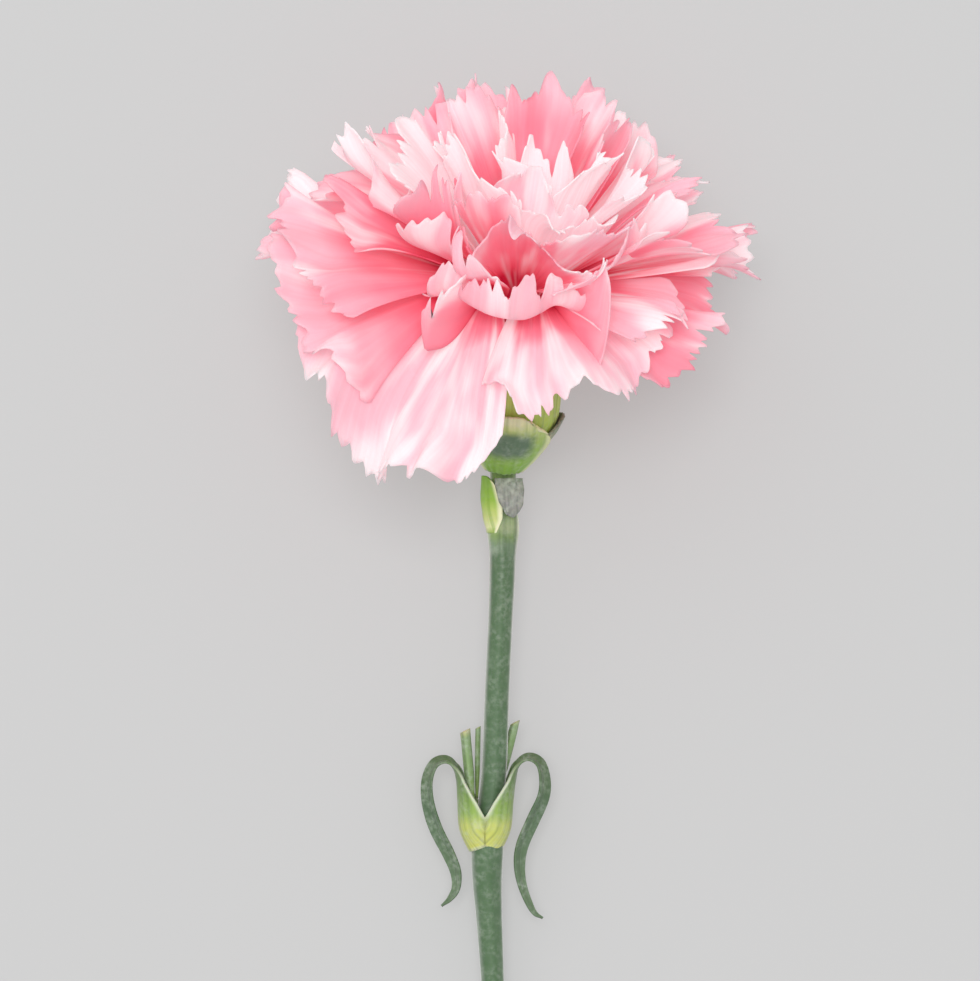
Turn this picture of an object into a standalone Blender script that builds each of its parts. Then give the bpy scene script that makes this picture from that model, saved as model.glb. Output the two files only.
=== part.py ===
"""A cut carnation lying on its side, as a short-cut flower does on a table.

The flower is modelled standing, in its own frame: X to the right, Y away from its front, Z up the stem, and the
origin where the calyx meets the stem. One empty then lays it down, so that its front faces up (+Z) and the bloom
points along +Y. It rests on the margins of the petals behind the bloom and on the cut end of the stem.

The petals never cross, because they share one map. The bloom's plan is a unit disk: its middle is the bloom's axis
and its rim the outermost petals. Each petal is a short curve on that disk. The map carries a point of the plan, and
a run along the petal, up the calyx tube and out over its mouth, and no two points of the plan ever meet.
"""

import math
from dataclasses import dataclass

import bmesh
import bpy
import numpy as np
from mathutils import Vector

MM = 0.001  # sizes below are in millimetres, and become metres when a mesh is made

# Posture
LAY_RISE = 5.6  # degrees the stem rises from its cut end to the bloom
NOD = 25.0  # degrees the bloom leans towards its front
LEAN = 5.0  # and to the right
SHIFT_X = -1.35  # from the base's centre on the surface to the calyx's base
SHIFT_Y = 29.05
SHIFT_Z = 13.15

# Stem: height, sideways offset of its centre and radius
STEM = [
    (-118.0, 0.6, 1.85),
    (-112.0, 0.2, 1.85),
    (-100.0, -0.6, 1.85),
    (-90.0, -1.1, 1.83),
    (-80.3, -1.65, 1.8),
    (-68.0, -2.3, 1.9),
    (-62.0, -2.65, 2.4),
    (-59.6, -2.8, 2.65),
    (-57.0, -2.6, 2.2),
    (-50.0, -1.4, 1.95),
    (-36.5, -1.0, 1.9),
    (-24.0, -0.4, 1.9),
    (-14.0, 0.0, 2.05),
    (-10.2, 0.0, 2.5),
    (-8.6, 0.0, 2.5),
    (-7.0, 0.0, 2.1),
    (-2.0, 0.0, 2.0),
    (0.0, 0.0, 2.0),
]
STEM_SIDES = 20
CUT_SLANT = math.radians(35.0)

# Calyx: radius and height of its outside
CALYX = [(1.9, 0.15), (2.6, 0.9), (4.8, 3.6), (7.1, 7.1), (7.9, 9.6), (7.9, 15.0), (7.9, 21.0), (8.1, 23.5)]
CALYX_HEIGHT = 26.0
CALYX_WALL = 0.5
CALYX_SIDES = 30
CALYX_TEETH = 5
NOTCH_HEIGHT = 23.8  # of the notches between the teeth
MOUTH_RADIUS = 8.3
TOOTH_HEIGHT = 4.0

# Bracts round the calyx's base: the left and right ones lie under the front and back ones
BRACT_THICKNESS = 0.4
BRACT_FACES = 6  # across and along
INNER_BRACT = 0.25  # gaps from the calyx
OUTER_BRACT = 0.95

# Bloom
CORE_RADIUS = 1.2  # left free at the bloom's axis
BUNDLE_RADIUS = 7.0  # the petals' claws fill the tube out to here
CLAW_DEPTH = 15.0  # the claws reach this far down the tube
CLAW_HALF_WIDTH = 0.9
BEND_RUN = 9.0  # a petal turns from the tube to its own direction over this run
OPENING = 84.0  # degrees between the bloom's axis and its outermost petals
LEFT_DROOP = 48.0  # and what the front guard petals, left and right of the middle, open beyond that
RIGHT_DROOP = 28.0
HANG_FROM = 0.74  # the droop sets in from here to the rim of the plan
HANG_OVER = 0.25
DROOP = math.radians(0.45)  # further turn of the outermost petals for each millimetre
PETAL_THICKNESS = 0.35
GAP = 0.2  # between the claws' feet and what they stand on
PETAL_RUNS = (-CLAW_DEPTH, 0.0, 2.2, 4.4, 6.7, 9.0)  # rows of points every petal has, then BLADE_ROWS to its margin
BLADE_ROWS = 3

RUFFLE_RUN = 32.0  # the ruffles have their full size from here on
RUFFLES = [  # direction of each shear in degrees, waves across the plan, size and phase
    (75, 8, 0.050, 1.0),
    (20, 15, 0.050, 0.4),
    (110, 17, 0.045, 2.1),
    (65, 26, 0.020, 4.0),
]

# Leaf pair: its rib, sideways and up, from the joint to the tip, then each width and channel
LEFT_RIB = [
    (-6.0, -58.6), (-6.6, -55.5), (-6.8, -52.1), (-7.0, -49.0), (-7.6, -47.0),
    (-8.9, -46.0), (-10.6, -46.6), (-11.6, -49.0), (-11.5, -52.4), (-10.3, -56.5),
    (-8.4, -60.4), (-7.3, -63.3), (-7.3, -65.8), (-8.3, -67.5), (-9.6, -68.6),
]
RIGHT_RIB = [
    (0.4, -58.6), (1.1, -55.5), (1.5, -52.1), (1.7, -49.0), (2.3, -46.7),
    (3.9, -45.6), (5.6, -46.4), (6.3, -48.8), (6.1, -51.5), (4.6, -55.0),
    (2.9, -59.1), (2.5, -62.4), (3.1, -65.8), (4.7, -69.4), (6.2, -70.5),
]
LEAF_ROWS = 20
LEAF_COLUMNS = 4
LEAF_THICKNESS = 0.45

GREEN = (0.13, 0.22, 0.12)
YELLOW_GREEN = (0.33, 0.44, 0.10)
GREY_GREEN = (0.20, 0.25, 0.22)
PINK = (0.90, 0.36, 0.42)


@dataclass
class Petal:
    """One petal's place on the plan and its size, in degrees and millimetres."""

    name: str
    azimuth: float  # 0 is the front, 90 the right
    reach: float  # 0 is the bloom's axis, 1 the outermost ring
    length: float  # from the calyx's mouth to the margin
    half_width: float
    turn: float = 0.0  # of the petal's curve on the plan, one end inwards
    cup: float = 1.0  # 1 follows the ring, more wraps round the axis, less lies flat
    columns: int = 8


PETALS = [
    Petal("guard_petal_1", -37, 0.95, 36.5, 17.5, turn=2),
    Petal("guard_petal_2", 28, 0.95, 27.5, 13.5, turn=-1),
    Petal("guard_petal_3", 77, 1.01, 29, 13, turn=1),
    Petal("guard_petal_4", 125, 0.99, 35, 15, turn=5),
    Petal("guard_petal_5", 179, 0.99, 29, 15, turn=5),
    Petal("guard_petal_6", -133, 0.99, 37.5, 14.5, turn=5),
    Petal("guard_petal_7", -86, 0.98, 35, 14.5, turn=2),
    Petal("outer_petal_1", -6, 0.84, 19.5, 9, turn=1),
    Petal("outer_petal_2", 52, 0.85, 29.5, 11, turn=1),
    Petal("outer_petal_3", 99, 0.85, 35.5, 13, turn=5),
    Petal("outer_petal_4", 152, 0.86, 38, 13.5, turn=5),
    Petal("outer_petal_5", -155, 0.86, 35.5, 13.5, turn=5),
    Petal("outer_petal_6", -101, 0.89, 38.5, 13, turn=5),
    Petal("outer_petal_7", -70, 0.83, 34.5, 14.5, turn=1),
    Petal("second_petal_1", 24, 0.72, 26, 10, turn=5),
    Petal("second_petal_2", 77, 0.71, 33, 12, turn=5),
    Petal("second_petal_3", 128, 0.71, 33, 12, turn=5),
    Petal("second_petal_4", 178, 0.71, 36, 12, turn=5),
    Petal("second_petal_5", -131, 0.71, 34, 12, turn=5),
    Petal("second_petal_6", -86, 0.71, 33, 12, turn=5),
    Petal("second_petal_7", -34, 0.72, 26, 10, turn=5),
    Petal("middle_petal_1", 0, 0.57, 26, 11, turn=10, columns=6),
    Petal("middle_petal_2", 50, 0.57, 30, 11, turn=10, columns=6),
    Petal("middle_petal_3", 103, 0.57, 32, 11, turn=10, columns=6),
    Petal("middle_petal_4", 154, 0.57, 36, 11.5, turn=10, columns=6),
    Petal("middle_petal_5", -156, 0.57, 37, 11.5, turn=10, columns=6),
    Petal("middle_petal_6", -93, 0.57, 37.5, 11, turn=10, columns=6),
    Petal("middle_petal_7", -54, 0.57, 29.5, 11, turn=10, columns=6),
    Petal("inner_petal_1", 28, 0.43, 27, 10, turn=11, columns=6),
    Petal("inner_petal_2", 88, 0.43, 33, 10, turn=11, columns=6),
    Petal("inner_petal_3", 150, 0.43, 36, 10.5, turn=11, columns=6),
    Petal("inner_petal_4", -150, 0.43, 35, 10.5, turn=11, columns=6),
    Petal("inner_petal_5", -89, 0.43, 33, 10, turn=11, columns=6),
    Petal("inner_petal_6", -31, 0.43, 26, 10, turn=11, columns=6),
    Petal("core_petal_1", 0, 0.29, 28, 8.5, turn=12, columns=6),
    Petal("core_petal_2", 72, 0.29, 31, 8.5, turn=12, columns=6),
    Petal("core_petal_3", 144, 0.29, 34, 8.5, turn=12, columns=6),
    Petal("core_petal_4", -144, 0.29, 34, 8.5, turn=12, columns=6),
    Petal("core_petal_5", -72, 0.29, 32.5, 9.5, turn=12, columns=6),
    Petal("heart_petal_1", 40, 0.15, 29, 7, turn=14, columns=6),
    Petal("heart_petal_2", 170, 0.15, 35.5, 6, turn=14, columns=6),
    Petal("heart_petal_3", -80, 0.15, 30, 7, turn=14, columns=6),
]


def opening_angle(reach, azimuth):
    """How far a rib opens from the bloom's axis. The guard petals at the front hang lower than the rest."""
    left = np.exp(5 * (np.cos(azimuth - math.radians(-25)) - 1))
    right = np.exp(5 * (np.cos(azimuth - math.radians(38)) - 1))
    hang = np.clip((reach - HANG_FROM) / HANG_OVER, 0.0, 1.0)
    hang = hang * hang * (3 - 2 * hang)
    return np.maximum(np.radians(reach * OPENING + hang * (LEFT_DROOP * left + RIGHT_DROOP * right)), 1e-3)


def radius_and_rise(reach, azimuth, run):
    """Where a rib is after a run past the calyx's mouth: its distance from the axis and its height over the mouth."""
    opening = opening_angle(reach, azimuth)
    start = CORE_RADIUS + (BUNDLE_RADIUS - CORE_RADIUS) * reach
    bend = np.clip(run, 0.0, BEND_RUN)
    curvature = opening / BEND_RUN
    radius = start + (1 - np.cos(curvature * bend)) / curvature
    rise = np.sin(curvature * bend) / curvature + np.minimum(run, 0.0)
    beyond = np.maximum(run - BEND_RUN, 0.0)
    droop = np.maximum(DROOP * reach**3, 1e-5)
    radius = radius + (np.cos(opening) - np.cos(opening + droop * beyond)) / droop
    rise = rise + (np.sin(opening + droop * beyond) - np.sin(opening)) / droop
    return radius, rise


def ruffle(x, y, run):
    """Shears of the plan that grow towards the margin. Each shear moves along one axis by a wave across it, so the
    plan stays free of crossings however strong they are."""
    grown = np.clip(run / RUFFLE_RUN, 0.0, 1.0) ** 2
    for angle, waves, size, phase in RUFFLES:
        c, s = math.cos(math.radians(angle)), math.sin(math.radians(angle))
        along, across = c * x + s * y, -s * x + c * y
        along = along + size * grown * np.sin(waves * across + phase)
        x, y = c * along - s * across, s * along + c * across
    return x, y


def plan_to_bloom(x, y, run):
    """The map that every petal shares, from the plan and a run to the bloom's frame."""
    x, y = ruffle(x, y, run)
    reach = np.maximum(np.hypot(x, y), 1e-4)
    azimuth = np.arctan2(x, -y)
    radius, rise = radius_and_rise(reach, azimuth, run)
    return np.stack([radius * np.sin(azimuth), -radius * np.cos(azimuth), rise], axis=-1)


def petal_points(petal, across, along):
    """Points of the petal's middle surface. across runs from -1 to 1, along from 0 at the claw's foot to 1."""
    azimuth, turn = math.radians(petal.azimuth), math.radians(petal.turn)
    rows = len(PETAL_RUNS) - 1 + BLADE_ROWS
    row = along * rows
    margin = petal.length * (1 - 0.22 * np.abs(across) ** 2.6)
    last = PETAL_RUNS[-1]
    blade = np.clip((row - (len(PETAL_RUNS) - 1)) / BLADE_ROWS, 0.0, 1.0)
    run = np.interp(row, np.arange(len(PETAL_RUNS)), PETAL_RUNS) + blade * (margin - last)
    spread = np.clip((run - 2.0) / (0.8 * petal.length - 2.0), 0.0, 1.0) ** 1.1
    width = CLAW_HALF_WIDTH + (petal.half_width - CLAW_HALF_WIDTH) * spread
    radius, _ = radius_and_rise(petal.reach, azimuth, run)
    offset = across * width * petal.reach / radius
    dip = petal.cup * offset**2 / (2 * petal.reach)
    outward = np.array([math.sin(azimuth), -math.cos(azimuth)])
    sideways = np.array([math.cos(azimuth), math.sin(azimuth)])
    outward, sideways = (
        outward * math.cos(turn) - sideways * math.sin(turn),
        sideways * math.cos(turn) + outward * math.sin(turn),
    )
    centre = petal.reach * np.array([math.sin(azimuth), -math.cos(azimuth)])
    x = centre[0] + sideways[0] * offset - outward[0] * dip
    y = centre[1] + sideways[1] * offset - outward[1] * dip
    return plan_to_bloom(x, y, run)


def smooth_path(points, count):
    """A Catmull-Rom curve through the points, at count places spaced evenly between them, and its directions."""
    points = np.array(points, dtype=float)
    ends = np.vstack([2 * points[0] - points[1], points, 2 * points[-1] - points[-2]])
    where = np.linspace(0, len(points) - 1, count)
    i = np.minimum(where.astype(int), len(points) - 2)
    f = (where - i)[:, None]
    a, b, c, d = ends[i], ends[i + 1], ends[i + 2], ends[i + 3]
    place = 0.5 * (2 * b + (c - a) * f + (2 * a - 5 * b + 4 * c - d) * f**2 + (3 * b - a - 3 * c + d) * f**3)
    direction = 0.5 * ((c - a) + 2 * (2 * a - 5 * b + 4 * c - d) * f + 3 * (3 * b - a - 3 * c + d) * f**2)
    return place, direction / np.linalg.norm(direction, axis=1, keepdims=True)


def material(name, colour, roughness=0.6):
    """A plain Principled finish."""
    made = bpy.data.materials.new(name)
    made.use_nodes = True
    shader = made.node_tree.nodes["Principled BSDF"]
    shader.inputs["Base Color"].default_value = (*colour, 1.0)
    shader.inputs["Roughness"].default_value = roughness
    return made


def empty(name, parent=None):
    """A frame to hang pieces on."""
    made = bpy.data.objects.new(name, None)
    bpy.context.scene.collection.objects.link(made)
    made.parent = parent
    return made


def finish_object(name, mesh, colour, parent):
    """Links a finished mesh into the scene under its frame."""
    mesh.shade_smooth()
    mesh.materials.append(material(name, colour))
    made = bpy.data.objects.new(name, mesh)
    bpy.context.scene.collection.objects.link(made)
    made.parent = parent
    return made


def sheet(name, columns, rows, place, thickness, colour, parent):
    """A flat grid whose points place() moves, given its thickness by a Solidify modifier."""
    mesh = bpy.data.meshes.new(name)
    bm = bmesh.new()
    bmesh.ops.create_grid(bm, x_segments=columns, y_segments=rows, size=1.0)
    flat = np.array([v.co for v in bm.verts])
    for vertex, point in zip(bm.verts, place(flat[:, 0], (flat[:, 1] + 1) / 2) * MM):
        vertex.co = point
    bm.to_mesh(mesh)
    bm.free()
    made = finish_object(name, mesh, colour, parent)
    shell = made.modifiers.new("thickness", "SOLIDIFY")
    shell.thickness = thickness * MM
    shell.offset = 0.0
    return made


def loft(name, rings, colour, parent):
    """A closed body through rings of points, each end closed by a fan."""
    bm = bmesh.new()
    rows = [[bm.verts.new(Vector(p) * MM) for p in ring] for ring in rings]
    for low, high in zip(rows, rows[1:]):
        for i in range(len(low)):
            j = (i + 1) % len(low)
            bm.faces.new((low[i], low[j], high[j], high[i]))
    for ring, order in ((rows[0], -1), (rows[-1], 1)):
        middle = bm.verts.new(sum((v.co for v in ring), Vector()) / len(ring))
        ring = ring[::order]
        for i in range(len(ring)):
            bm.faces.new((ring[i], ring[(i + 1) % len(ring)], middle))
    bmesh.ops.recalc_face_normals(bm, faces=bm.faces)
    mesh = bpy.data.meshes.new(name)
    bm.to_mesh(mesh)
    bm.free()
    return finish_object(name, mesh, colour, parent)


def circle(sides, radius, x, y, z):
    """A level ring of points. radius and z may differ from point to point."""
    angle = np.arange(sides) * 2 * math.pi / sides
    ones = np.ones(sides)
    return np.stack([x + radius * np.sin(angle), y - radius * np.cos(angle), z * ones], axis=-1)


def make_stem(parent):
    """The stem, with its two swollen joints and a slanting cut at its foot."""
    rings = [circle(STEM_SIDES, radius, x, 0.0, height) for height, x, radius in STEM]
    foot, top = rings[0], rings[-1]
    foot[:, 2] += (foot[:, 1] + STEM[0][2]) * math.tan(CUT_SLANT)
    top[:, 2] = math.tan(math.radians(NOD)) * top[:, 1] - math.tan(math.radians(LEAN)) * top[:, 0]
    return loft("stem", rings, GREEN, parent)


def over_calyx(height, gap):
    """Radius and height of a point that stands off the calyx's outside by a gap."""
    profile = np.array(CALYX)
    radius = np.interp(height, profile[:, 1], profile[:, 0])
    slope = (np.interp(height + 0.8, profile[:, 1], profile[:, 0]) - radius) / 0.8
    steep = np.hypot(1.0, slope)
    return radius + gap / steep, height - gap * slope / steep


def make_calyx(parent):
    """The toothed cup that holds the petals. Their claws stand on its solid lower half."""
    angle = np.arange(CALYX_SIDES) * 2 * math.pi / CALYX_SIDES
    tooth = TOOTH_HEIGHT * (0.5 + 0.5 * np.cos(CALYX_TEETH * angle)) ** 0.8
    rings = [circle(CALYX_SIDES, r, 0.0, 0.0, z) for r, z in CALYX]
    rings.append(circle(CALYX_SIDES, MOUTH_RADIUS, 0.0, 0.0, NOTCH_HEIGHT + tooth))
    rings.append(circle(CALYX_SIDES, MOUTH_RADIUS - CALYX_WALL, 0.0, 0.0, NOTCH_HEIGHT + tooth))
    floor = CALYX_HEIGHT - CLAW_DEPTH - GAP
    for r, z in CALYX[:4:-1] + [(CALYX[5][0], floor)]:
        rings.append(circle(CALYX_SIDES, r - CALYX_WALL, 0.0, 0.0, z))
    return loft("calyx", rings, YELLOW_GREEN, parent)


def make_bract(name, azimuth, gap, height, half_angle, parent):
    """A broad bract that hugs the calyx, pointed at its top."""
    middle = math.radians(azimuth)

    def place(across, along):
        z = 1.2 + (height - 1.2) * along * (1 - 0.32 * np.abs(across) ** 1.5 * along)
        span = math.radians(half_angle) * (1 - 0.75 * np.clip((along - 0.55) / 0.45, 0, 1) ** 2)
        around = middle + across * span
        radius, z = over_calyx(z, gap + BRACT_THICKNESS / 2)
        return np.stack([radius * np.sin(around), -radius * np.cos(around), z], axis=-1)

    return sheet(name, BRACT_FACES, BRACT_FACES, place, BRACT_THICKNESS, YELLOW_GREEN, parent)


def make_scale_leaf(name, azimuth, start, end, radii, half_widths, colour, parent):
    """A small scale leaf on the upper joint, curved round the stem from its start height to its end height."""
    middle = math.radians(azimuth)

    def place(across, along):
        z = start + (end - start) * along
        radius = np.interp(along, np.linspace(0, 1, len(radii)), radii)
        width = np.interp(along, np.linspace(0, 1, len(half_widths)), half_widths)
        around = middle + across * width / radius
        return np.stack([radius * np.sin(around), -radius * np.cos(around), z], axis=-1)

    return sheet(name, BRACT_FACES, BRACT_FACES, place, BRACT_THICKNESS, colour, parent)


def make_leaf(name, rib, side, parent):
    """A leaf of the lower joint: half a sheath round the stem, then a narrow blade that arches over and hangs."""
    path, direction = smooth_path(rib, LEAF_ROWS + 1)
    steps = np.linspace(0, 1, LEAF_ROWS + 1)
    channel = np.interp(steps, (0, 0.09, 0.21, 0.30, 1), (3.0, 3.9, 4.2, 2.6, 2.2))
    reach = np.interp(steps, (0, 0.10, 0.21, 0.30, 0.6, 0.85, 1), (4.45, 5.85, 2.9, 1.3, 1.35, 1.1, 0.25))
    twist = np.radians(np.interp(steps, (0, 0.24, 0.45, 0.7, 1), (0, 0, 32, 55, 40)))
    outward = np.stack([side * direction[:, 1], -side * direction[:, 0]], axis=-1)

    def place(across, along):
        row = np.rint(along * LEAF_ROWS).astype(int)
        angle = across * reach[row] / channel[row]
        sideways = channel[row] * np.sin(angle)
        inwards = channel[row] * (1 - np.cos(angle))
        c, s = np.cos(twist[row]), np.sin(twist[row])
        flat = sideways * s - inwards * c
        depth = sideways * c + inwards * s
        return np.stack(
            [path[row, 0] + flat * outward[row, 0], -depth, path[row, 1] + flat * outward[row, 1]], axis=-1
        )

    return sheet(name, LEAF_COLUMNS, LEAF_ROWS, place, LEAF_THICKNESS, GREEN, parent)


def make_shoot(name, foot, top, radius, parent):
    """The stub of a side shoot that was cut off above the leaf pair."""
    foot, top = np.array(foot), np.array(top)
    rings = [circle(10, radius * k, *(foot + (top - foot) * t)) for t, k in ((0, 0.5), (0.4, 1.0), (1, 1.0))]
    rings[-1][:, 2] += 0.5 * (rings[-1][:, 0] - top[0])
    return loft(name, rings, GREEN, parent)


def main():
    """Builds the flower standing, under the frame that lays it down."""
    for old in list(bpy.data.objects):
        bpy.data.objects.remove(old)
    flower = empty("flower")
    flower.rotation_euler = (math.radians(LAY_RISE - 90.0), 0.0, 0.0)
    flower.location = (SHIFT_X * MM, SHIFT_Y * MM, SHIFT_Z * MM)
    head = empty("head", flower)
    head.rotation_euler = (math.radians(NOD), math.radians(LEAN), 0.0)
    bloom = empty("bloom", head)
    bloom.location = (0.0, 0.0, CALYX_HEIGHT * MM)

    make_stem(flower)
    make_leaf("leaf_left", LEFT_RIB, -1, flower)
    make_leaf("leaf_right", RIGHT_RIB, 1, flower)
    make_shoot("cut_shoot_left", (-4.8, -0.6, -53.0), (-5.9, -0.9, -41.2), 0.75, flower)
    make_shoot("cut_shoot_thin", (-4.1, 1.9, -52.0), (-3.9, 1.6, -40.9), 0.4, flower)
    make_shoot("cut_shoot_right", (-0.9, 2.6, -51.4), (1.9, 1.6, -40.1), 0.7, flower)
    make_scale_leaf("scale_leaf_left", -75, -8.4, -1.4, (2.75, 2.95, 3.0, 2.9), (3.1, 3.1, 2.6, 1.2), GREEN, flower)
    make_scale_leaf("scale_leaf_dry", 22, -1.9, -8.0, (3.1, 3.5, 3.7, 3.8), (2.5, 2.4, 2.0, 0.9), GREY_GREEN, flower)
    make_calyx(head)
    make_bract("bract_left", -88, INNER_BRACT, 9.8, 50, head)
    make_bract("bract_right", 84, INNER_BRACT, 9.8, 50, head)
    make_bract("bract_front", 4, OUTER_BRACT, 12.4, 50, head)
    make_bract("bract_back", 178, OUTER_BRACT, 12.0, 50, head)
    for petal in PETALS:
        sheet(
            petal.name,
            petal.columns,
            len(PETAL_RUNS) - 1 + BLADE_ROWS,
            lambda across, along, petal=petal: petal_points(petal, across, along),
            PETAL_THICKNESS,
            PINK,
            bloom,
        )


main()
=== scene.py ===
"""The looks of a cut carnation that lies on its back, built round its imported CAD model.

The flower is worked out standing, in millimetres: X to the right, Y away from its front, Z up the stem, with
the origin where the calyx meets the stem. One matrix then lays it down into the model's frame, in metres.
"""

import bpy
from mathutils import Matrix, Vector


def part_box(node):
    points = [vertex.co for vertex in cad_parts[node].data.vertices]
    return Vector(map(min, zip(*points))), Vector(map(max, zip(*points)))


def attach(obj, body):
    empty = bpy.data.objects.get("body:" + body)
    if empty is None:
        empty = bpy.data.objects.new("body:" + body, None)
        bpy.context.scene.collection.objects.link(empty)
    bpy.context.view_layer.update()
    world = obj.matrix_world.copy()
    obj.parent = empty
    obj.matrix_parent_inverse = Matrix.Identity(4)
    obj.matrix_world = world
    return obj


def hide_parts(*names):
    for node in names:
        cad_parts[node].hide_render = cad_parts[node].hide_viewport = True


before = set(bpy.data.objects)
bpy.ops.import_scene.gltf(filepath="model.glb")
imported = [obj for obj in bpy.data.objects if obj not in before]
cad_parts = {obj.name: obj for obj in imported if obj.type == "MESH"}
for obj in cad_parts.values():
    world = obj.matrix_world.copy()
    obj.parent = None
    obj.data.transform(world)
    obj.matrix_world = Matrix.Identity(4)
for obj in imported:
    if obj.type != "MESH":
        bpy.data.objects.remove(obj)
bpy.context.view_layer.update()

import logging
import math
from collections.abc import Callable, Sequence
from dataclasses import dataclass, field
from enum import Enum
from functools import partial

import bmesh
import bpy
import numpy as np
from bmesh.types import BMesh
from bpy.types import Material
from mathutils import Euler, Matrix, Vector

LOG = logging.getLogger("carnation")
MM = 0.001
# Spreads the petals' own seeds evenly from 0 to 1
GOLDEN = 0.618
# Two arrays, such as points and their UV
Pair = tuple[np.ndarray, np.ndarray]
# Bends a grid: takes across (-1 to 1) and along (0 to 1) and gives points and their UV
Placement = Callable[[np.ndarray, np.ndarray], Pair]
# Pairs of a place and the value there, in order of place
Table = Sequence[tuple[float, float]]

# === Small helpers ===


def linear(colour: str) -> tuple[float, float, float, float]:
    """Turns an sRGB hex colour into the linear one that shaders take.

    Args:
        colour: Six hex digits, such as "d04a5c".

    Returns:
        Red, green, blue and an alpha of 1.
    """
    channels = [int(colour[i : i + 2], 16) / 255 for i in (0, 2, 4)]
    red, green, blue = (c / 12.92 if c <= 0.04045 else ((c + 0.055) / 1.055) ** 2.4 for c in channels)
    return red, green, blue, 1.0


def feed(node: bpy.types.Node, inputs: dict) -> None:
    """Sets or links a shader node's inputs.

    Args:
        node: The node.
        inputs: Input (name or number) to its fixed value, or to the output socket that feeds it.
    """
    for key, value in inputs.items():
        if isinstance(value, bpy.types.NodeSocket):
            node.id_data.links.new(value, node.inputs[key])
        else:
            node.inputs[key].default_value = value


def add_node(material: Material, kind: str, inputs: dict | None = None, **settings) -> bpy.types.Node:
    """Adds a shader node with its settings and inputs.

    Args:
        material: The material to add it to.
        kind: The node's type name, such as "ShaderNodeMix".
        inputs: As feed takes them.
        **settings: Attributes of the node itself.

    Returns:
        The new node.
    """
    made = material.node_tree.nodes.new(kind)
    for name, value in settings.items():
        setattr(made, name, value)
    feed(made, inputs or {})
    return made


def blank_material(name: str) -> tuple[Material, bpy.types.Node]:
    """Makes a material with a Principled shader.

    Args:
        name: What the material is.

    Returns:
        The material and its Principled node.
    """
    material = bpy.data.materials.new(name)
    material.use_nodes = True
    return material, material.node_tree.nodes["Principled BSDF"]


def drawn_noise(
    material: Material,
    split: bpy.types.Node,
    grain: tuple[float, float],
    detail: float,
    third: bpy.types.NodeSocket | None = None,
) -> bpy.types.NodeSocket:
    """Adds noise that is drawn out along a piece.

    Args:
        material: The material to add it to.
        split: The node that splits the piece's UV map.
        grain: Width and length of its grain, in millimetres.
        detail: How many finer layers it has.
        third: Third coordinate of the noise. Pieces where it differs have different noise.

    Returns:
        The socket that gives the noise.
    """
    place = {2: third} if third else {}
    for axis, size in enumerate(grain):
        scaled = {0: split.outputs[axis], 1: 1 / size}
        place[axis] = add_node(material, "ShaderNodeMath", scaled, operation="MULTIPLY").outputs[0]
    where = add_node(material, "ShaderNodeCombineXYZ", place).outputs[0]
    noise = {"Vector": where, "Scale": 1.0, "Detail": detail}
    return add_node(material, "ShaderNodeTexNoise", noise).outputs[0]


def smooth_steps(material: Material, steps: Sequence[tuple]) -> bpy.types.NodeSocket:
    """Multiplies smooth steps into one share.

    Args:
        material: The material to add them to.
        steps: Of each, the socket it reads, where it starts and ends, and the share before and after it.

    Returns:
        The socket that gives the share.
    """
    share = None
    for value, start, end, before, after in steps:
        limits = {0: value, 1: start, 2: end, 3: before, 4: after}
        step = add_node(material, "ShaderNodeMapRange", limits, interpolation_type="SMOOTHSTEP").outputs[0]
        if share is not None:
            step = add_node(material, "ShaderNodeMath", {0: share, 1: step}, operation="MULTIPLY").outputs[0]
        share = step
    return share


def colour_ramp(node: bpy.types.Node, stops: Sequence[tuple[float, str]]) -> None:
    """Sets a colour ramp's stops.

    Args:
        node: The Color Ramp node.
        stops: Position and hex colour of each stop, in order.
    """
    ramp = node.color_ramp
    while len(ramp.elements) < len(stops):
        ramp.elements.new(0.5)
    for element, (position, colour) in zip(ramp.elements, stops):
        element.position = position
        element.color = linear(colour)


# === Posture and mesh building ===


@dataclass(frozen=True)
class Posture:
    """How the flower lies, and how its head sits on the stem. Angles are in degrees.

    Attributes:
        lay_rise: Rise of the stem from its cut end to the bloom.
        nod: Lean of the head towards its front.
        lean: Lean of the head to the right.
        calyx_height: From the calyx's base to the plane of its mouth, in millimetres.
        stem_end: Height of the stem's cut end, in millimetres.
        stem_radius: There, in millimetres.
        sideways: Where the calyx's base is in the frame, along X, in millimetres.
        height: Of the calyx's base over the floor, in millimetres.
    """

    lay_rise: float = 5.6
    nod: float = 25.0
    lean: float = 5.0
    calyx_height: float = 26.0
    stem_end: float = -118.0
    stem_radius: float = 1.85
    sideways: float = -1.35
    height: float = 13.15

    def flower(self) -> Matrix:
        """Gives the matrix from the standing flower to the model's frame, in metres.

        Returns:
            The matrix, placed so that the stem lies where the frame's stem lies.
        """
        turn = Matrix.Rotation(math.radians(self.lay_rise - 90.0), 4, "X")
        foot = [turn @ Vector((0.0, y, self.stem_end)) for y in (-self.stem_radius, self.stem_radius)]
        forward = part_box("stem")[0][1] - min(point.y for point in foot) * MM
        place = Matrix.Translation((self.sideways * MM, forward, self.height * MM))
        return place @ turn @ Matrix.Scale(MM, 4)

    def head(self) -> Matrix:
        """Gives the matrix from the calyx's own frame to the model's frame."""
        lean = Euler((math.radians(self.nod), math.radians(self.lean), 0.0)).to_matrix().to_4x4()
        return self.flower() @ lean

    def bloom(self) -> Matrix:
        """Gives the matrix from the bloom's frame, at the calyx's mouth, to the model's frame."""
        return self.head() @ Matrix.Translation((0.0, 0.0, self.calyx_height))


POSTURE = Posture()


def placed(matrix: Matrix, points: np.ndarray) -> np.ndarray:
    """Moves points by a matrix.

    Args:
        matrix: A 4 by 4 matrix.
        points: One point to a row.

    Returns:
        The moved points.
    """
    m = np.array(matrix)
    return points @ m[:3, :3].T + m[:3, 3]


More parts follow.
